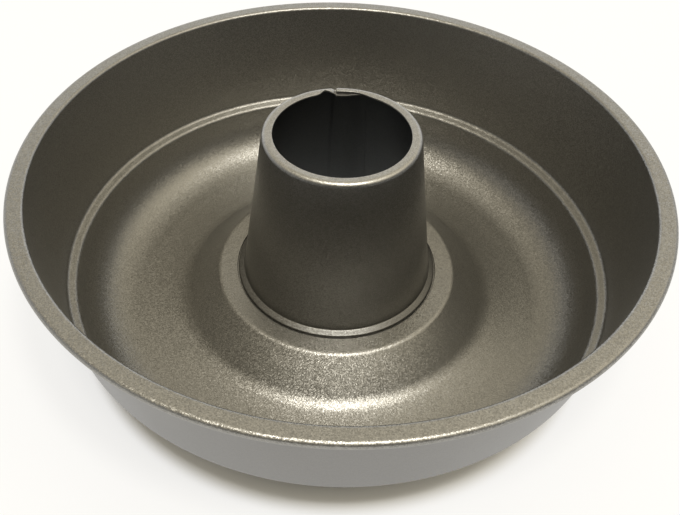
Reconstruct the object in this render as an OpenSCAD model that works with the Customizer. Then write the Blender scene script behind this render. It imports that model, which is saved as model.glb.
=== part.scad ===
// Ring cake pan with a fixed centre tube.
// The pan is one pressed sheet. The tube is a second rolled sheet, closed by a lap seam and
// crimped into the hole in the middle of the pan.
// All sizes are in millimetres. Z is up, the pan stands on Z = 0 and its front faces -Y.

/* [Pan] */
// Outside diameter over the rolled rim
rim_d = 260; // [234:1:320]
// Height of the rim above the table
pan_h = 73.7; // [69:0.1:100]
// Thickness of the pan's sheet
sheet = 0.8; // [0.5:0.1:1.3]

/* [Rolled rim] */
// Width of the flat rim, from the mouth to the outside
rim_w = 7.1; // [6:0.1:12]
// Outside radius of the rolled edge
roll_r = 1.7; // [1.3:0.1:2.2]
// Length of the leg turned back under the rim
roll_leg = 2.8; // [1:0.1:3.1]
// Radius of the bend from the rim into the mouth
mouth_r = 1.4; // [0.8:0.1:2.5]

/* [Wall and ledge] */
// Lean of the wall from upright, in degrees
wall_lean = 8; // [3:0.5:12]
// Depth of the ledge below the rim
ledge_drop = 48; // [30:0.5:52]
// Width of the ledge
ledge_w = 4.1; // [3.4:0.1:8]
// Fall of the ledge towards the middle, in degrees
ledge_fall = 15; // [0:1:25]
// Radius of the ledge's outer corner
ledge_out_r = 2.1; // [1:0.1:2.4]
// Radius of the ledge's inner edge
ledge_in_r = 2.1; // [1.5:0.1:2.4]

/* [Trough] */
// Slope of the trough's outer side, in degrees from level
side_slope = 78; // [70:1:84]
// Radius where the trough's outer side turns into its floor
side_r = 21.5; // [12:0.5:24]
// Width of the flat ring that the pan stands on
foot_ring_w = 3.3; // [2:0.1:6]
// Radius of the long curve from the foot ring up to the inner slope
floor_r = 71.4; // [50:0.2:80]
// Slope at the end of that curve, in degrees
floor_slope = 12; // [8:0.5:14]
// Radius at the bottom of the inner slope
heel_r = 14.3; // [8:0.1:16]

/* [Middle] */
// Height of the land in the middle above the trough's floor
land_h = 15.2; // [12:0.1:19]
// Width of the land's flat, from its outer bend to the recess round the tube
land_w = 6.8; // [4:0.1:12]
// Radius of the land's outer edge
land_r = 3.2; // [2:0.1:5]
// Diameter of the hole in the pan
hole_d = 83.4; // [74:0.2:92]

/* [Tube] */
// Thickness of the tube's sheet
tube_sheet = 0.8; // [0.5:0.05:0.85]
// Height of the tube's top above the rim
tube_rise = 14.2; // [4:0.1:30]
// Outside diameter of the tube at its top
tube_top_d = 62.6; // [50:0.2:72]
// Radius of the bend at the tube's top
lip_r = 2; // [1.5:0.1:3.4]
// Width of the lip turned inwards at the top
lip_w = 4.1; // [3.5:0.1:6]
// Fall of the lip towards the middle
lip_fall = 0.2; // [0:0.1:1]

/* [Foot of the tube] */
// Reach of the bead past the edge of the hole
bead_w = 2; // [1.2:0.1:3]
// Outside radius of the bead's edge
bead_r = 0.85; // [0.85:0.05:1.4]
// Slope of the bead's top, in degrees
bead_slope = 22; // [20:1:55]
// Gap between the bead and the land round it
bead_gap = 0.5; // [0.3:0.1:1.5]
// Distance that the cone starts inside the skirt below it
foot_step = 0.55; // [0.3:0.05:2]
// Radius where the tube meets its bead
bead_fillet = 0.6; // [0.2:0.1:1.2]
// Width of the flange turned out below the pan
crimp_w = 3; // [1.5:0.1:5]
// Clearance between the tube and the edge of the pan's hole
hole_fit = 0.1; // [0:0.05:0.3]

/* [Seam] */
// Direction of the seam, in degrees from +X
seam_at = 95; // [0:1:359]
// Width of the overlap inside the tube
lap_w = 12; // [4:0.5:14]
// Width of the slit in the lip at the seam
slit_w = 0.5; // [0.3:0.1:1.5]
// Distance that the overlap ends below the lip
lap_stop = 2; // [1:0.5:10]

/* [Hidden] */
$fn = 96;
// Degrees of turn between two points of a bend
step = 6;
// Steepest that the trough's inner slope gets in a narrow pan, in degrees
steepest = 60;
// Extra reach of a cutting shape past what it cuts
past = 1;
// Two points closer than this are one point
same = 0.001;

// Heights that the pan and the tube share.
floor_z = sheet;
land_z = floor_z + land_h;
shelf_z = land_z - sheet;
under_shelf_z = shelf_z - sheet;

// Unit vector at an angle.
function at(a) = [cos(a), sin(a)];

// Direction of the line from p to q, in degrees.
function heading(p, q) = atan2(q[1] - p[1], q[0] - p[0]);

// An angle brought between -180 and 180.
function wrap(a) = a - 360 * floor((a + 180) / 360);

// Turn of the path at each of its corners. The ends have none.
function turns(c) = [for (i = [0 : len(c) - 1])
    (i == 0 || i == len(c) - 1) ? 0 : wrap(heading(c[i], c[i + 1]) - heading(c[i - 1], c[i]))];

// The other face of a sheet: each corner [r, z, bend radius] moves by t to the left of the path,
// and its bend radius shrinks on the inside of a turn and grows on the outside.
function other_face(c, t) = let (b = turns(c)) [for (i = [0 : len(c) - 1])
    let (h = i == 0 ? heading(c[0], c[1]) : heading(c[i - 1], c[i]))
    let (v = t / cos(b[i] / 2) * at(h + 90 + b[i] / 2))
    [c[i][0] + v[0], c[i][1] + v[1], b[i] == 0 ? 0 : max(0, c[i][2] - sign(b[i]) * t)]];

// The path with every corner rounded to its own bend radius.
function rounded(c) = let (b = turns(c)) [for (i = [0 : len(c) - 1])
    let (r = c[i][2])
    let (n = r == 0 || b[i] == 0 ? 0 : ceil(abs(b[i]) / step))
    let (h = heading(c[max(0, i - 1)], c[max(1, i)]))
    let (p = [c[i][0], c[i][1]])
    let (mid = p + r / cos(b[i] / 2) * sign(b[i]) * at(h + 90 + b[i] / 2))
    for (k = [0 : n]) n == 0 ? p : mid - r * sign(b[i]) * at(h + 90 + b[i] * k / n)];

// The points of a path without those that repeat the one before.
function distinct(c) = [for (i = [0 : len(c) - 1]) if (i == 0 || norm(c[i] - c[i - 1]) > same) c[i]];

function backwards(c) = [for (i = [len(c) - 1 : -1 : 0]) c[i]];

// A sheet of thickness t turned round the Z axis. The path lists the corners of one face.
module turned_sheet(c, t) {
    rotate_extrude() polygon(distinct(concat(rounded(c), backwards(rounded(other_face(c, t))))));
}

// Corners of the pan's food side, from the rolled edge in to the hole.
rim_rad = rim_d / 2;
mouth_rad = rim_rad - rim_w;
ledge_out_rad = mouth_rad - ledge_drop * tan(wall_lean);
ledge_out_z = pan_h - ledge_drop;
ledge_in_rad = ledge_out_rad - ledge_w;
ledge_in_z = ledge_out_z - ledge_w * tan(ledge_fall);
side_rad = ledge_in_rad - (ledge_in_z - floor_z) / tan(side_slope);
// The bend at the foot of the side is no longer than the side has room for above it.
side_run = (ledge_in_z - floor_z) / sin(side_slope) - ledge_in_r * tan((side_slope - ledge_fall) / 2);
side_bend = min(side_r, side_run / tan(side_slope / 2));
// The foot ring starts where the trough's side has turned level.
ring_out_rad = side_rad - side_bend * tan(side_slope / 2);
ring_in_rad = ring_out_rad - foot_ring_w;

// The recess round the bead and the land outside it.
hole_rad = hole_d / 2;
bead_rad = hole_rad + bead_w;
recess_rad = bead_rad + bead_gap;
land_rad = recess_rad + land_w;

// The floor's long curve gets the width that the inner slope leaves it, even at its steepest.
steep_rise = land_h - land_r * (1 - cos(steepest)) - heel_r * (cos(floor_slope) - cos(steepest));
steep_run = land_r * sin(steepest) + heel_r * (sin(steepest) - sin(floor_slope)) + steep_rise / tan(steepest);
floor_bend = min(floor_r, (ring_in_rad - land_rad - steep_run) / sin(floor_slope));

// The inner slope is the line that touches the bend at the heel and the bend at the land's edge.
heel_mid = [ring_in_rad - (floor_bend - heel_r) * sin(floor_slope),
    floor_z + floor_bend - (floor_bend - heel_r) * cos(floor_slope)];
land_mid = [land_rad, land_z - land_r];
apart = norm(heel_mid - land_mid);
slope = asin((heel_r + land_r) / apart) - atan2(heel_mid[1] - land_mid[1], heel_mid[0] - land_mid[0]);
floor_corner = ring_in_rad - floor_bend * tan(floor_slope / 2);
heel_back = heel_r * tan((slope - floor_slope) / 2);
heel_corner = heel_mid + heel_r * at(-90 - floor_slope) - heel_back * at(-floor_slope);
land_corner = land_rad + land_r * tan(slope / 2);

pan_face = [
    [rim_rad - roll_r - roll_leg, pan_h - 2 * roll_r, 0],
    [rim_rad, pan_h - 2 * roll_r, roll_r],
    [rim_rad, pan_h, roll_r],
    [mouth_rad, pan_h, mouth_r],
    [ledge_out_rad, ledge_out_z, ledge_out_r],
    [ledge_in_rad, ledge_in_z, ledge_in_r],
    [side_rad, floor_z, side_bend],
    [floor_corner, floor_z, floor_bend],
    [heel_corner[0], heel_corner[1], heel_r],
    [land_corner, land_z, land_r],
    [recess_rad, land_z, 0],
    [recess_rad, shelf_z, 0],
    [hole_rad, shelf_z, 0]
];

// Corners of the tube's outer side, from the crimp below the pan up to the lip.
skirt_rad = hole_rad - hole_fit;
foot_rad = skirt_rad - foot_step;
bead_mid = [bead_rad - bead_r, shelf_z + bead_r];
bead_tip = bead_mid + bead_r * at(90 - bead_slope);
bead_z = bead_tip[1] + (bead_tip[0] - foot_rad) * tan(bead_slope);
top_rad = tube_top_d / 2;
top_z = pan_h + tube_rise;

tube_face = [
    [skirt_rad + crimp_w, under_shelf_z, 0],
    [skirt_rad, under_shelf_z, 0],
    [skirt_rad, shelf_z, 0],
    [bead_mid[0] + bead_r / tan(bead_slope / 2), shelf_z, bead_r],
    [foot_rad, bead_z, bead_fillet],
    [top_rad, top_z, lip_r],
    [top_rad - lip_w, top_z - lip_fall, 0]
];

// The overlap: a strip of the tube's sheet inside the cone, rooted in the middle of its wall.
cone_lean = atan2(foot_rad - top_rad, top_z - bead_z);
cone_in = tube_sheet / cos(cone_lean);
lap_low = bead_z + bead_fillet;
lap_high = top_z - tube_sheet - lip_fall - lap_stop;
function cone_rad(z) = foot_rad - (z - bead_z) * tan(cone_lean);

module lap() {
    intersection() {
        rotate_extrude() polygon([
            [cone_rad(lap_low) - cone_in / 2, lap_low],
            [cone_rad(lap_high) - cone_in / 2, lap_high],
            [cone_rad(lap_high) - 2 * cone_in, lap_high],
            [cone_rad(lap_low) - 2 * cone_in, lap_low]
        ]);
        rotate([0, 0, seam_at]) translate([0, -lap_w, 0]) cube([foot_rad, lap_w, top_z]);
    }
}

module lip_slit() {
    rotate([0, 0, seam_at])
        translate([top_rad - lip_w - past, -slit_w / 2, top_z - lip_r])
            cube([lip_w - lip_r / 2 + past, slit_w, lip_r + past]);
}

module pan_body() {
    color("silver") turned_sheet(pan_face, sheet);
}

module centre_tube() {
    color("lightslategray") {
        difference() {
            turned_sheet(tube_face, tube_sheet);
            lip_slit();
        }
        lap();
    }
}

pan_body();
centre_tube();
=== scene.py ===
"""A ring cake pan with a fixed centre tube, standing on a white table.

The pan is one pressed sheet and the tube is a second sheet, rolled to a cone. Both are drawn as
paths of bends carried round the Z axis. Lengths on the object are millimetres and angles are
degrees. The table, the lamps and the finished scene are in metres.
"""
import math

import bpy
import numpy as np
from mathutils import Matrix, Vector


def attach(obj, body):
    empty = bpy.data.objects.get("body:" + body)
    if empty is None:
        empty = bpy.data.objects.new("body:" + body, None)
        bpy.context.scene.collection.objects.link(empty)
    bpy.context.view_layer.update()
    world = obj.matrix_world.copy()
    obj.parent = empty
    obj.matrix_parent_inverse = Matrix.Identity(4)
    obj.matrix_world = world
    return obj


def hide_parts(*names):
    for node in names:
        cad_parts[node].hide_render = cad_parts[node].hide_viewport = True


MM = 0.001

# The pan, as in the solids.
PAN_H = 73.7
RIM_R = 130.0
RIM_W = 7.1
ROLL_R = 1.7
ROLL_LEG = 2.8
MOUTH_R = 1.4
SHEET = 0.8
WALL_LEAN = 8.0
LEDGE_DROP = 48.0
LEDGE_W = 4.1
LEDGE_FALL = 15.0
LEDGE_OUT_R = 2.1
LEDGE_IN_R = 2.1
SIDE_SLOPE = 78.0
SIDE_R = 21.5
FOOT_RING_W = 3.3
FLOOR_R = 71.4
FLOOR_SLOPE = 12.0
HEEL_R = 14.3
LAND_H = 15.2
LAND_W = 6.8
LAND_EDGE_R = 3.2
HOLE_R = 41.7

# The tube, as in the solids.
TUBE_SHEET = 0.8
TUBE_RISE = 14.2
TUBE_TOP_R = 31.3
LIP_R = 2.0
LIP_W = 4.1
LIP_FALL = 0.2
BEAD_W = 2.0
BEAD_R = 0.85
BEAD_SLOPE = 22.0
BEAD_GAP = 0.5
BEAD_FILLET = 0.6
FOOT_STEP = 0.55
CRIMP_W = 3.0
HOLE_FIT = 0.1

# Heights and radii that follow from these.
FLOOR_Z = SHEET
LAND_Z = FLOOR_Z + LAND_H
SHELF_Z = LAND_Z - SHEET
TUBE_TOP_Z = PAN_H + TUBE_RISE
SKIRT_R = HOLE_R - HOLE_FIT
TUBE_FOOT_R = SKIRT_R - FOOT_STEP
BEAD_OUT_R = HOLE_R + BEAD_W
RECESS_R = BEAD_OUT_R + BEAD_GAP
LAND_R = RECESS_R + LAND_W

# Small bends that only the drawn sheets have: at a cut end, and at the edge and the foot of the recess.
CUT_R = 0.2
RECESS_EDGE_R = 0.2
RECESS_LOW_R = 0.1

# The tube's seam, which shows as a slit in the lip. Angles there count from the slit, anticlockwise seen
# from above. From the front, the first degrees are left of it and the last before 360 are right of it.
SEAM_AT = 95.0
# The right end draws back by the slit's width over its last degrees.
SLIT_W = 0.35
SLIT_TURN = 3.0
# Left of the slit the sheet lies a step inwards up to the first angle, and in its own place from the
# second. The step is a sheet's thickness and a little play. It reaches down to the height LAP_LOW and
# fades out over LAP_FADE below it.
STEP_FROM = 0.3
STEP_TO = 3.6
LAP_LOW = 26.0
LAP_FADE = 5.0
LAP_PLAY = 0.06
# The pucker left of the step, where the lip's inner edge draws back and lifts.
PUCKER_AT = 8.5
PUCKER_TURN = 3.0
PUCKER_BACK = 1.9
PUCKER_LIFT = 0.3
# The lip narrows and lifts between these angles and stays so up to the slit.
NARROW_FROM = 326.0
NARROW_TO = 342.0
NARROW_BACK = 0.9
NARROW_LIFT = 0.1
# The strip under the seam. Past a share LAP_LEVEL of its turn it sinks into the tube's sheet, by a share
# LAP_SINK of the step, so that its end doesn't show, and its lip draws back.
LAP_TURN = 24.0
LAP_LEVEL = 0.3
LAP_SINK = 0.9
LAP_LIP_REACH = 0.1
LAP_LIP_BACK = 1.3
LAP_LIP_DROP = 0.45

# The lip gives only where it is further than LIP_STILL in from the tube's side. The others are depths
# below the tube's top at which a change of the lip, of the step's direction or of the slit starts and at
# which it is whole.
LIP_STILL = 0.8
LIP_STARTS = 2.5
LIP_WHOLE = 1.4
BEND_STARTS = 3.0
BEND_WHOLE = 0.8
SLIT_STARTS = 3.0
SLIT_WHOLE = 1.0

# How fine the outlines are. A chord leaves its arc by CHORD_GAP at most and turns by ARC_STEP at most, and
# a corner under STRAIGHT_TURN isn't rounded. A straight part with room for them has a point SPACE_NEAR
# from each end and the others SPACE_FAR apart at most. Points within SAME_POINT are one.
CHORD_GAP = 0.006
ARC_STEP = 12.0
STRAIGHT_TURN = 0.01
SPACE_NEAR = 0.35
SPACE_FAR = 6.0
SAME_POINT = 1e-4
# Steps round the axis, in degrees. The tube's are finer as far as SEAM_LEFT and SEAM_RIGHT from the seam,
# and the first and the last step of a band are END_STEP.
PAN_STEP = 1.25
TUBE_STEP = 2.0
SEAM_STEP = 0.5
SEAM_LEFT = 24.0
SEAM_RIGHT = 36.0
LAP_STEP = 0.6
END_STEP = 0.1

# The first coat covers some of a sheet's other side too: inside the rim's fold, from the roll to FOLD_COAT
# further in, and inside the tube, from its top to LIP_COAT below.
FOLD_COAT = 2.0
LIP_COAT = 1.0
# The width of a flake, and the slow change of the gloss.
FLAKE = 0.33
CLOUD_SCALE = 38.0
CLOUD_DETAIL = 3.0
GLOSS_CHANGE = 0.03
# Painted light and shade by height: from the first height to the second, the tone is multiplied by a
# number that goes from the third to the fourth.
# Painted light: the top of the rim is painted lighter.
RIM_PAINTED_LIGHT = (PAN_H - 1.0, PAN_H - 0.2, 1.0, 1.16)
# Painted light: the top of the tube's lip is painted much lighter.
LIP_PAINTED_LIGHT = (TUBE_TOP_Z - 1.2, TUBE_TOP_Z - 0.3, 1.0, 1.85)
# Painted shade: the tube's bead and everything below it are painted darker.
BEAD_PAINTED_SHADE = (LAND_Z + 1.2, LAND_Z + 2.2, 0.62, 1.0)

# The table, in metres. Its white comes in between two distances from the middle.
TABLE_HALF = 40.0
TABLE_TONE = (0.93, 0.93, 0.92)
TABLE_ROUGH = 0.7
WHITE_FROM = 0.108
WHITE_TO = 0.116
WHITE_SHARE = 0.7

# The room: walls up to a third of the way, windows above them and a ceiling that is brighter on the
# viewer's side. Levels are shares of white.
WALL_BEHIND = 1.2
WALL_RIGHT = 0.3
WALL_FRONT = 0.0
WALL_LEFT = 0.5
WINDOW_BEHIND = 0.6
WINDOW_RIGHT = 1.1
WINDOW_FRONT = 0.6
WINDOW_LEFT = 0.4
CEILING_BEHIND = 0.6
CEILING_FRONT = 1.2
COOL = (0.98, 1.0, 1.03)
WARM = (1.10, 1.0, 0.78)
# The upward parts of a direction between which a band blends in. The ceiling's two sides blend where the
# part that points back is within CEILING_BLEND of 0.
WALLS_START = (-0.05, -0.01)
WINDOWS_START = (0.37, 0.62)
CEILING_START = (0.77, 0.91)
CEILING_BLEND = 0.25

# The lamps, in metres.
LAMP_SIZE = 0.5
LAMP_TINT = (1.0, 0.98, 0.93)
LAMP_AIM = (0.0, 0.0, 0.03)

# The camera. RIM_SEEN says how far the middle of the rim lies to the right of its eye, above it and
# ahead of it. The lens and the sensor are in millimetres, and the nearest that it sees is in metres.
TIP = 45.45
ROLL = 1.37
RIM_SEEN = (8.80, 38.56, 324.05)
LENS = 42.94
SENSOR_W = 36.0
SHIFT_X = 0.0311
CLIP_START = 0.01


# paths of bends

def at(degrees):
    """The unit vector at an angle."""
    a = math.radians(degrees)
    return np.array([math.cos(a), math.sin(a)])


def tan(degrees):
    return math.tan(math.radians(degrees))


def headings(path, closed):
    """The direction in which the path arrives at each corner, and how far it turns left there."""
    p = path[:, :2]
    step = np.roll(p, -1, axis=0) - p
    leave = np.degrees(np.arctan2(step[:, 1], step[:, 0]))
    if not closed:
        leave[-1] = leave[-2]
    arrive = np.roll(leave, 1)
    if not closed:
        arrive[0] = leave[0]
    turn = (leave - arrive + 180.0) % 360.0 - 180.0
    return arrive, turn


def other_face(path, thickness):
    """The sheet's other face: each corner moves left of the path by the thickness, along the line that
    halves the corner, and its bend radius loses the thickness inside a turn and gains it outside."""
    arrive, turn = headings(path, False)
    out = path.copy()
    for i, (way, bend) in enumerate(zip(arrive, turn)):
        out[i, :2] += thickness / math.cos(math.radians(bend / 2)) * at(way + 90 + bend / 2)
        out[i, 2] = max(0.0, path[i, 2] - np.sign(bend) * thickness)
    return out


def rounded(path, gap):
    """The runs of a closed path (x, y, radius, side): each corner becomes an arc of its own radius r. The
    arc's middle is r / cos(turn / 2) from the corner, on the line that halves it. One step of the arc
    turns ARC_STEP, or 2 acos(1 - gap / r) where that is less, which keeps its chord within the gap."""
    arrive, turn = headings(path, True)
    runs = []
    for (x, y, r, side), way, bend in zip(path, arrive, turn):
        if r <= 0 or abs(bend) < STRAIGHT_TURN:
            runs.append(np.array([[x, y, side]]))
            continue
        most = min(ARC_STEP, 2 * math.degrees(math.acos(1 - gap / r)))
        n = max(2, math.ceil(abs(bend) / most))
        left = np.sign(bend)
        mid = np.array([x, y]) + r / math.cos(math.radians(bend / 2)) * left * at(way + 90 + bend / 2)
        a = np.radians(way + 90 + bend * np.arange(n + 1) / n)
        arc = mid - r * left * np.stack([np.cos(a), np.sin(a)], 1)
        runs.append(np.column_stack([arc, np.full(n + 1, side)]))
    return runs


def threaded(runs, near, far):
    """The closed line through the runs, with extra points on the straight parts between them: one close
    to each end, so that shading stays flat up to the bends, and the rest no more than far apart."""
    out = []
    for run, following in zip(runs, runs[1:] + runs[:1]):
        a, b = run[-1], following[0]
        length = np.linalg.norm((b - a)[:2])
        out.append(run)
        if length >= 3 * near:
            share = np.linspace(near, length - near, 2 + int(length // far))[:, None] / length
            out.append(a + (b - a) * share)
    p = np.concatenate(out)
    return p[np.linalg.norm((p - np.roll(p, 1, axis=0))[:, :2], axis=1) > SAME_POINT]


def sheet_outline(face, thickness):
    """The closed outline of a bent sheet: its face with side 0, then its other face backwards with
    side 1. The cut ends get a small rounding."""
    back = other_face(face, thickness)[::-1]
    sides = [np.column_stack([path, np.full(len(path), side)]) for side, path in enumerate((face, back))]
    for path in sides:
        path[[0, -1], 2] = CUT_R
    return threaded(rounded(np.concatenate(sides), CHORD_GAP), SPACE_NEAR, SPACE_FAR)


# the two sheets

def pan_path():
    """Corners of the pan's food side from the rolled edge in to the hole. The trough's inner slope is
    the line that touches the heel's bend and the bend at the land's edge."""
    mouth = RIM_R - RIM_W
    ledge_out = mouth - LEDGE_DROP * tan(WALL_LEAN)
    ledge_z = PAN_H - LEDGE_DROP
    ledge_in = ledge_out - LEDGE_W
    ledge_in_z = ledge_z - LEDGE_W * tan(LEDGE_FALL)
    side = ledge_in - (ledge_in_z - FLOOR_Z) / tan(SIDE_SLOPE)
    ring = side - SIDE_R * tan(SIDE_SLOPE / 2) - FOOT_RING_W
    heel = np.array([ring, FLOOR_Z + FLOOR_R]) + (FLOOR_R - HEEL_R) * at(-90 - FLOOR_SLOPE)
    land = np.array([LAND_R, LAND_Z - LAND_EDGE_R])
    run = heel - land
    between = math.asin((HEEL_R + LAND_EDGE_R) / np.linalg.norm(run))
    slope = math.degrees(between - math.atan2(run[1], run[0]))
    heel_corner = (heel + HEEL_R * at(-90 - FLOOR_SLOPE)
                   - HEEL_R * tan((slope - FLOOR_SLOPE) / 2) * at(-FLOOR_SLOPE))
    return np.array([
        [RIM_R - ROLL_R - ROLL_LEG, PAN_H - 2 * ROLL_R, 0],
        [RIM_R, PAN_H - 2 * ROLL_R, ROLL_R],
        [RIM_R, PAN_H, ROLL_R],
        [mouth, PAN_H, MOUTH_R],
        [ledge_out, ledge_z, LEDGE_OUT_R],
        [ledge_in, ledge_in_z, LEDGE_IN_R],
        [side, FLOOR_Z, SIDE_R],
        [ring - FLOOR_R * tan(FLOOR_SLOPE / 2), FLOOR_Z, FLOOR_R],
        [heel_corner[0], heel_corner[1], HEEL_R],
        [LAND_R + LAND_EDGE_R * tan(slope / 2), LAND_Z, LAND_EDGE_R],
        [RECESS_R, LAND_Z, RECESS_EDGE_R],
        [RECESS_R, SHELF_Z, RECESS_LOW_R],
        [HOLE_R, SHELF_Z, 0],
    ])


def tube_path():
    """Corners of the tube's outer side from the crimp under the pan, up through the hole, round the
    bead and up the cone to the lip."""
    bead = np.array([BEAD_OUT_R - BEAD_R, SHELF_Z + BEAD_R])
    tip = bead + BEAD_R * at(90 - BEAD_SLOPE)
    bead_z = tip[1] + (tip[0] - TUBE_FOOT_R) * tan(BEAD_SLOPE)
    return np.array([
        [SKIRT_R + CRIMP_W, SHELF_Z - SHEET, 0],
        [SKIRT_R, SHELF_Z - SHEET, 0],
        [SKIRT_R, SHELF_Z, 0],
        [bead[0] + BEAD_R / tan(BEAD_SLOPE / 2), SHELF_Z, BEAD_R],
        [TUBE_FOOT_R, bead_z, BEAD_FILLET],
        [TUBE_TOP_R, TUBE_TOP_Z, LIP_R],
        [TUBE_TOP_R - LIP_W, TUBE_TOP_Z - LIP_FALL, 0],
    ])


def lap_path():
    """Corners of the strip under the seam: the tube's cone from LAP_LOW up, and its lip."""
    foot, top, edge = tube_path()[-3:]
    start = foot + (top - foot) * (LAP_LOW - foot[1]) / (top[1] - foot[1])
    start[2] = 0
    return np.array([start, top, edge])


def spaced(start, end, step):
    """Numbers from start to end, as near to a step apart as fits."""
    return np.linspace(start, end, 1 + round((end - start) / step))


def tube_angles():
    """The angles from the slit round to the slit: fine near the seam and coarse elsewhere, with one
    close to each end so that shading stays flat up to the cut."""
    right = 360 - SEAM_RIGHT
    return np.concatenate([[0], spaced(END_STEP, SEAM_LEFT, SEAM_STEP),
                           spaced(SEAM_LEFT, right, TUBE_STEP)[1:-1],
                           spaced(right, 360 - END_STEP, SEAM_STEP), [360]])


def lap_angles():
    """The angles of the strip under the seam, from its far end to the slit."""
    return np.concatenate([[-LAP_TURN], spaced(END_STEP - LAP_TURN, -END_STEP, LAP_STEP), [0]])


def bump(x, centre, width):
    """A bell curve, 1 at the centre and 0.6 one width away: exp(-((x - centre) / width)^2 / 2)."""
    return np.exp(-0.5 * ((x - centre) / width) ** 2)


def ramp(x, low, high):
    """0 below low, 1 above high and t^2 (3 - 2 t) between, where t is the share of the way."""
    t = np.clip((x - low) / (high - low), 0, 1)
    return t * t * (3 - 2 * t)


def ramp_to_top(z, starts, whole):
    """A ramp in height, from and to a depth below the tube's top."""
    return ramp(z, TUBE_TOP_Z - starts, TUBE_TOP_Z - whole)


def lip_share(r, z):
    """0 on the cone and at the lip's outer bend, growing to 1 at the lip's inner edge."""
    return ramp(TUBE_TOP_R - r, LIP_STILL, LIP_W) * ramp_to_top(z, LIP_STARTS, LIP_WHOLE)


def step_inwards(r, z):
    """A move by one thickness of sheet square to the sheet, as changes of r and z. Its direction turns
    from inwards on the cone to down on the lip."""
    turn = np.pi / 2 * ramp(TUBE_TOP_R - r, 0, LIP_R) * ramp_to_top(z, BEND_STARTS, BEND_WHOLE)
    deep = (TUBE_SHEET + LAP_PLAY) * ramp(z, LAP_LOW - LAP_FADE, LAP_LOW)
    return -deep * np.cos(turn), -deep * np.sin(turn)


def give_at_seam(r, z, a):
    """How the tube's sheet gives close to the seam, as changes of r, z and a. Left of the slit the sheet
    steps inwards to go under the other end, by a ramp of a. Past that the lip's inner edge draws back
    and lifts, by a bell curve of a. On the right the lip narrows, by a ramp, and the last degrees turn
    back to open the slit."""
    inner = lip_share(r, z)
    under = 1 - ramp(a, STEP_FROM, STEP_TO)
    dr, dz = step_inwards(r, z)
    pucker = inner * bump(a, PUCKER_AT, PUCKER_TURN)
    narrow = inner * ramp(a, NARROW_FROM, NARROW_TO)
    slit = ramp(a, 360 - SLIT_TURN, 360) * ramp_to_top(z, SLIT_STARTS, SLIT_WHOLE)
    return (dr * under + PUCKER_BACK * pucker + NARROW_BACK * narrow,
            dz * under + PUCKER_LIFT * pucker + NARROW_LIFT * narrow,
            -math.degrees(SLIT_W / TUBE_TOP_R) * slit)


def give_of_lap(r, z, a):
    """How the strip under the seam lies, as changes of r, z and a: a step inwards, with the lip's inner
    edge bent down. Towards the end, where a is -LAP_TURN, the step fades out and the lip's edge draws
    back, by a ramp."""
    inner = lip_share(r, z)
    fade = ramp(-a, LAP_LEVEL * LAP_TURN, LAP_TURN)
    dr, dz = step_inwards(r, z)
    left = 1 - LAP_SINK * fade
    return (dr * left + (LAP_LIP_BACK * fade - LAP_LIP_REACH) * inner,
            dz * left - LAP_LIP_DROP * inner, 0 * a)


def turned(name, outline, angles, whole, other, give=None):
    """A closed outline (r, z) carried round the Z axis through the angles: x = r cos a, y = r sin a.
    A whole turn closes on itself, and a part of one is a band with flat ends. Where give changes the
    sheet, the angles count from the seam. The sheet's other side gets the second material where
    other(r, z) holds."""
    r, z, side = outline.T
    count = len(angles)
    rr, zz, aa = (np.broadcast_to(v, (count, len(r))) for v in (r[None], z[None], angles[:, None]))
    if give:
        dr, dz, da = give(rr, zz, aa)
        rr, zz, aa = rr + dr, zz + dz, aa + da + SEAM_AT
    t = np.radians(aa)
    points = np.stack([rr * np.cos(t), rr * np.sin(t), zz], -1).reshape(-1, 3) * MM
    n = len(r)
    i = np.arange(count if whole else count - 1)[:, None]
    j = np.arange(n)[None]
    i2, j2 = (i + 1) % count, (j + 1) % n
    faces = np.stack([i * n + j, i * n + j2, i2 * n + j2, i2 * n + j], -1).reshape(-1, 4).tolist()
    strip = (side == 1) & (np.roll(side, -1) == 1) & other(r, z)
    slots = np.tile(strip, len(i)).tolist()
    if not whole:
        faces += [list(range(n))[::-1], list(range((count - 1) * n, count * n))]
        slots += [0, 0]
    return solid(name, points, faces, slots)


def solid(name, points, faces, slots):
    """A mesh object with its faces turned outwards, shaded smooth and given their material slots. The
    sign of the sum of a . (b x c), over the first three corners of each face, says which way they point."""
    mesh = bpy.data.meshes.new(name)
    mesh.from_pydata(points.tolist(), [], faces)
    corners = points[np.array([face[:3] for face in faces])]
    volume = np.einsum("ij,ij->i", corners[:, 0], np.cross(corners[:, 1], corners[:, 2])).sum()
    if volume < 0:
        mesh.flip_normals()
    mesh.polygons.foreach_set("use_smooth", np.ones(len(mesh.polygons), bool))
    mesh.polygons.foreach_set("material_index", np.array(slots, np.int32))
    mesh.update()
    piece = bpy.data.objects.new(name, mesh)
    bpy.context.collection.objects.link(piece)
    return piece


# finishes

class Nodes:
    """A short way to write a node tree."""

    def __init__(self, tree):
        self.tree = tree
        tree.nodes.clear()

    def add(self, kind, links=None, **values):
        """Adds a node. links maps input names or numbers to sockets or plain values."""
        node = self.tree.nodes.new(kind)
        for key, value in values.items():
            setattr(node, key, value)
        for key, value in (links or {}).items():
            if isinstance(value, bpy.types.NodeSocket):
                self.tree.links.new(value, node.inputs[key])
            else:
                node.inputs[key].default_value = value
        return node

    def maths(self, kind, a, b):
        return self.add("ShaderNodeMath", {0: a, 1: b}, operation=kind).outputs[0]

    def vector(self, kind, a, b=None, out="Vector"):
        """A sum, product or other result of two vectors, or of one where b is left out."""
        links = {0: a} if b is None else {0: a, 1: b}
        return self.add("ShaderNodeVectorMath", links, operation=kind).outputs[out]

    def scaled(self, vector, scale):
        links = {0: vector, "Scale": scale}
        return self.add("ShaderNodeVectorMath", links, operation="SCALE").outputs["Vector"]

    def soft(self, value, low, high, start=0.0, end=1.0):
        """An S-curve from start at low to end at high."""
        return self.add("ShaderNodeMapRange", {"Value": value, "From Min": low, "From Max": high,
                                               "To Min": start, "To Max": end},
                        interpolation_type="SMOOTHSTEP").outputs[0]


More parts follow.
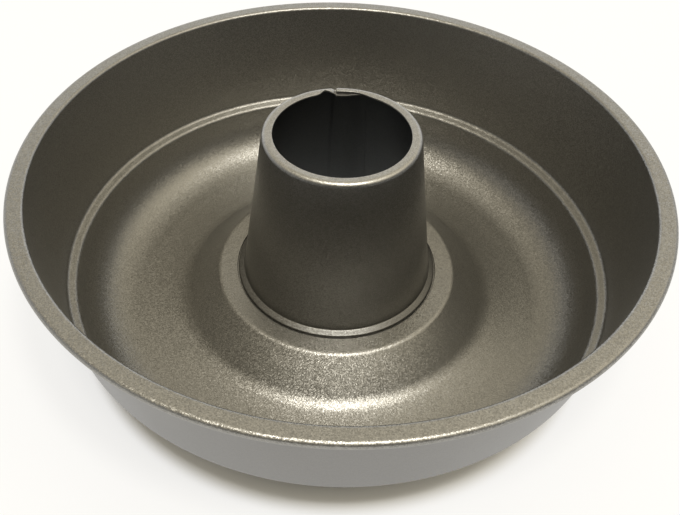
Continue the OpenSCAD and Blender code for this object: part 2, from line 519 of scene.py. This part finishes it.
def colour(r, g, b):
    return (r, g, b, 1.0)


def flake_coat(name, light, dark, rough, sparkle, painted_light_and_shade=()):
    """A non-stick coat with metal flakes. Each cell of a fine cell pattern is a flake. It tips the surface
    its own way, by up to half the sparkle along each axis, so that a highlight breaks up into grains,
    and its tone lies between dark and light. A slow noise varies the gloss. Each height band given
    multiplies the tone: painted light where it lightens it, painted shade where it darkens it."""
    material = bpy.data.materials.new(name)
    material.use_nodes = True
    n = Nodes(material.node_tree)
    where = n.add("ShaderNodeTexCoord").outputs["Object"]
    cells = n.add("ShaderNodeTexVoronoi", {"Vector": where, "Scale": 1 / (FLAKE * MM)}).outputs["Color"]
    tip = n.scaled(n.vector("SUBTRACT", cells, (0.5, 0.5, 0.5)), sparkle)
    normal = n.add("ShaderNodeNewGeometry").outputs["Normal"]
    facing = n.vector("NORMALIZE", n.vector("ADD", normal, tip))
    fleck = n.add("ShaderNodeSeparateXYZ", {0: cells}).outputs[0]
    mixed = n.add("ShaderNodeMix", {"Factor": fleck, 6: colour(*dark), 7: colour(*light)}, data_type="RGBA")
    tone = mixed.outputs[2]
    height = n.add("ShaderNodeSeparateXYZ", {0: where}).outputs[2]
    for low, high, below, above in painted_light_and_shade:
        tone = n.scaled(tone, n.soft(height, low * MM, high * MM, below, above))
    cloud = n.add("ShaderNodeTexNoise", {"Vector": where, "Scale": CLOUD_SCALE, "Detail": CLOUD_DETAIL})
    gloss = n.add("ShaderNodeMapRange", {"Value": cloud.outputs["Fac"], "To Min": rough + GLOSS_CHANGE,
                                         "To Max": rough - GLOSS_CHANGE})
    skin = n.add("ShaderNodeBsdfPrincipled", {
        "Base Color": tone, "Metallic": 1.0, "Roughness": gloss.outputs[0], "Normal": facing})
    n.add("ShaderNodeOutputMaterial", {0: skin.outputs[0]})
    return material


def finish_piece(piece, *materials):
    for material in materials:
        piece.data.materials.append(material)


def table_paint():
    """A pale paint. The camera and the metal see it as partly plain white, outside the shadow at the
    pan's foot. From below it is clear, so that the pan's underside can be looked at."""
    material = bpy.data.materials.new("table_paint")
    material.use_nodes = True
    n = Nodes(material.node_tree)
    lit = n.add("ShaderNodeBsdfPrincipled", {"Base Color": colour(*TABLE_TONE), "Roughness": TABLE_ROUGH})
    white = n.add("ShaderNodeEmission", {"Color": colour(1, 1, 1), "Strength": 1.0})
    reach = n.vector("LENGTH", n.add("ShaderNodeTexCoord").outputs["Object"], out="Value")
    rays = n.add("ShaderNodeLightPath").outputs
    mirrored = n.maths("MAXIMUM", rays["Is Glossy Ray"], rays["Is Transmission Ray"])
    seen = n.maths("MAXIMUM", rays["Is Camera Ray"], mirrored)
    share = n.maths("MULTIPLY", seen, n.soft(reach, WHITE_FROM, WHITE_TO, 0.0, WHITE_SHARE))
    paint = n.add("ShaderNodeMixShader", {0: share, 1: lit.outputs[0], 2: white.outputs[0]})
    below = n.add("ShaderNodeNewGeometry").outputs["Backfacing"]
    clear = n.add("ShaderNodeBsdfTransparent")
    both = n.add("ShaderNodeMixShader", {0: below, 1: paint.outputs[0], 2: clear.outputs[0]})
    n.add("ShaderNodeOutputMaterial", {0: both.outputs[0]})
    return material


# table, light and camera

def flat_table():
    """One flat square at the height that the pan stands on."""
    mesh = bpy.data.meshes.new("table")
    s = TABLE_HALF
    mesh.from_pydata([(-s, -s, 0), (s, -s, 0), (s, s, 0), (-s, s, 0)], [], [(0, 1, 2, 3)])
    mesh.materials.append(table_paint())
    table = bpy.data.objects.new("table", mesh)
    bpy.context.collection.objects.link(table)
    return table


def around(n, heading, behind, right, front, left):
    """A level for each side of the room, weighted by the square of the part of the heading that points
    to it."""
    total = 0.0
    for level, side in ((behind, (0, 1, 0)), (right, (1, 0, 0)), (front, (0, -1, 0)), (left, (-1, 0, 0))):
        part = n.vector("DOT_PRODUCT", heading, side, out="Value")
        weight = n.maths("POWER", n.maths("MAXIMUM", part, 0.0), 2.0)
        total = n.maths("ADD", n.maths("MULTIPLY", weight, level), total)
    return total


def light_room():
    """The world's light. The upward part of a direction blends the walls into the windows and these
    into the ceiling, and its heading says which side of the room it meets."""
    world = bpy.data.worlds.new("room")
    world.use_nodes = True
    bpy.context.scene.world = world
    n = Nodes(world.node_tree)
    way = n.add("ShaderNodeTexCoord").outputs["Generated"]
    _, depth, rise = n.add("ShaderNodeSeparateXYZ", {0: way}).outputs
    heading = n.vector("NORMALIZE", n.vector("MULTIPLY", way, (1, 1, 0)))
    walls = around(n, heading, WALL_BEHIND, WALL_RIGHT, WALL_FRONT, WALL_LEFT)
    windows = around(n, heading, WINDOW_BEHIND, WINDOW_RIGHT, WINDOW_FRONT, WINDOW_LEFT)
    ceiling = n.soft(depth, -CEILING_BLEND, CEILING_BLEND, CEILING_FRONT, CEILING_BEHIND)
    above_walls = n.soft(rise, *WINDOWS_START)
    ceiling_band = n.soft(rise, *CEILING_START)
    wall_band = n.maths("SUBTRACT", n.soft(rise, *WALLS_START), above_walls)
    window_band = n.maths("SUBTRACT", above_walls, ceiling_band)
    low_light = n.maths("MULTIPLY", wall_band, walls)
    high_light = n.maths("ADD", n.maths("MULTIPLY", window_band, windows),
                         n.maths("MULTIPLY", ceiling_band, ceiling))
    light = n.vector("ADD", n.scaled(COOL, low_light), n.scaled(WARM, high_light))
    background = n.add("ShaderNodeBackground", {"Color": light, "Strength": 1.0})
    n.add("ShaderNodeOutputWorld", {0: background.outputs[0]})


def lamp(name, place, power):
    """A round lamp that shines at the middle of the pan."""
    data = bpy.data.lights.new(name, "AREA")
    data.shape = "DISK"
    data.size = LAMP_SIZE
    data.energy = power
    data.color = LAMP_TINT
    item = bpy.data.objects.new(name, data)
    item.location = place
    item.rotation_euler = (Vector(LAMP_AIM) - Vector(place)).to_track_quat("-Z", "Y").to_euler()
    bpy.context.collection.objects.link(item)


def place_camera():
    """The camera, at the photograph's angle: looking to the back, tipped down by TIP and rolled by ROLL.
    Its eye is the middle of the rim less RIM_SEEN along the camera's own right, up and ahead."""
    tip, roll = math.radians(TIP), math.radians(ROLL)
    level = np.array([1.0, 0.0, 0.0])
    upright = np.array([0.0, math.sin(tip), math.cos(tip)])
    ahead = np.array([0.0, math.cos(tip), -math.sin(tip)])
    right = math.cos(roll) * level + math.sin(roll) * upright
    up = -math.sin(roll) * level + math.cos(roll) * upright
    eye = np.array([0.0, 0.0, PAN_H]) - np.array(RIM_SEEN) @ np.stack([right, up, ahead])
    view = np.eye(4)
    view[:3] = np.column_stack([right, up, -ahead, eye * MM])
    data = bpy.data.cameras.new("camera")
    data.sensor_width = SENSOR_W
    data.lens = LENS
    data.shift_x = SHIFT_X
    data.clip_start = CLIP_START
    camera = bpy.data.objects.new("camera", data)
    camera.matrix_world = Matrix(view.tolist())
    bpy.context.collection.objects.link(camera)
    bpy.context.scene.camera = camera


# the build

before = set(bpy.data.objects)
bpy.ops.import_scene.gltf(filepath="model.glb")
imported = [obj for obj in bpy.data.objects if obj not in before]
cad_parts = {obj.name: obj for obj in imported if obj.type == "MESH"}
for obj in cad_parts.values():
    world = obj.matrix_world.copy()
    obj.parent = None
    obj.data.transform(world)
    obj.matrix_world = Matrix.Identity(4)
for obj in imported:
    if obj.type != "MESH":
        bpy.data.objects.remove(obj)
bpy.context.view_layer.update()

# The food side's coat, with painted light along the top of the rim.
inner_coat = flake_coat("inner_coat", light=(0.385, 0.375, 0.349), dark=(0.245, 0.239, 0.222),
                        rough=0.38, sparkle=0.22, painted_light_and_shade=[RIM_PAINTED_LIGHT])
outer_coat = flake_coat("outer_coat", light=(0.245, 0.239, 0.228), dark=(0.223, 0.217, 0.207),
                        rough=0.34, sparkle=0.03)
# The tube's coat is a darker copy of the food side's coat, as painted shade on the tube, with painted light
# on the lip and painted shade on the bead.
tube_coat = flake_coat("tube_coat", light=(0.288, 0.282, 0.263), dark=(0.192, 0.187, 0.174),
                       rough=0.38, sparkle=0.14, painted_light_and_shade=[LIP_PAINTED_LIGHT, BEAD_PAINTED_SHADE])
# Painted shade: the tube's inside, below the top of the lip, is painted almost black.
tube_inside_painted_shade_coat = flake_coat("tube_inside_painted_shade_coat", light=(0.095, 0.100, 0.104), dark=(0.080, 0.084, 0.088),
                             rough=0.50, sparkle=0.03)
# Painted shade: the strip under the seam is painted darker and duller than the tube, for the shade under
# the end that lies over it.
lap_painted_shade_coat = flake_coat("lap_painted_shade_coat", light=(0.225, 0.218, 0.202), dark=(0.155, 0.150, 0.138),
                      rough=0.50, sparkle=0.10)

pan = turned("pan_sheet", sheet_outline(pan_path(), SHEET), np.arange(0, 360, PAN_STEP), True,
             lambda r, z: r < RIM_R - ROLL_R - FOLD_COAT)
finish_piece(pan, inner_coat, outer_coat)
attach(pan, "root")
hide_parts("pan_body")

tube = turned("tube_sheet", sheet_outline(tube_path(), TUBE_SHEET), tube_angles(), False,
              lambda r, z: z < TUBE_TOP_Z - LIP_COAT, give_at_seam)
finish_piece(tube, tube_coat, tube_inside_painted_shade_coat)
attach(tube, "root")
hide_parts("centre_tube")

# The end of the tube's sheet that lies under the other end.
lap = turned("tube_lap", sheet_outline(lap_path(), TUBE_SHEET), lap_angles(), False,
             lambda r, z: z < TUBE_TOP_Z - LIP_COAT, give_of_lap)
finish_piece(lap, lap_painted_shade_coat, tube_inside_painted_shade_coat)
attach(lap, "root")

table = flat_table()

light_room()
lamp("ceiling_lamp", place=(-0.14, -0.88, 2.90), power=21.0)
lamp("ceiling_lamp_right", place=(0.62, -0.80, 2.90), power=25.0)
place_camera()
bpy.context.scene.view_settings.view_transform = "Standard"
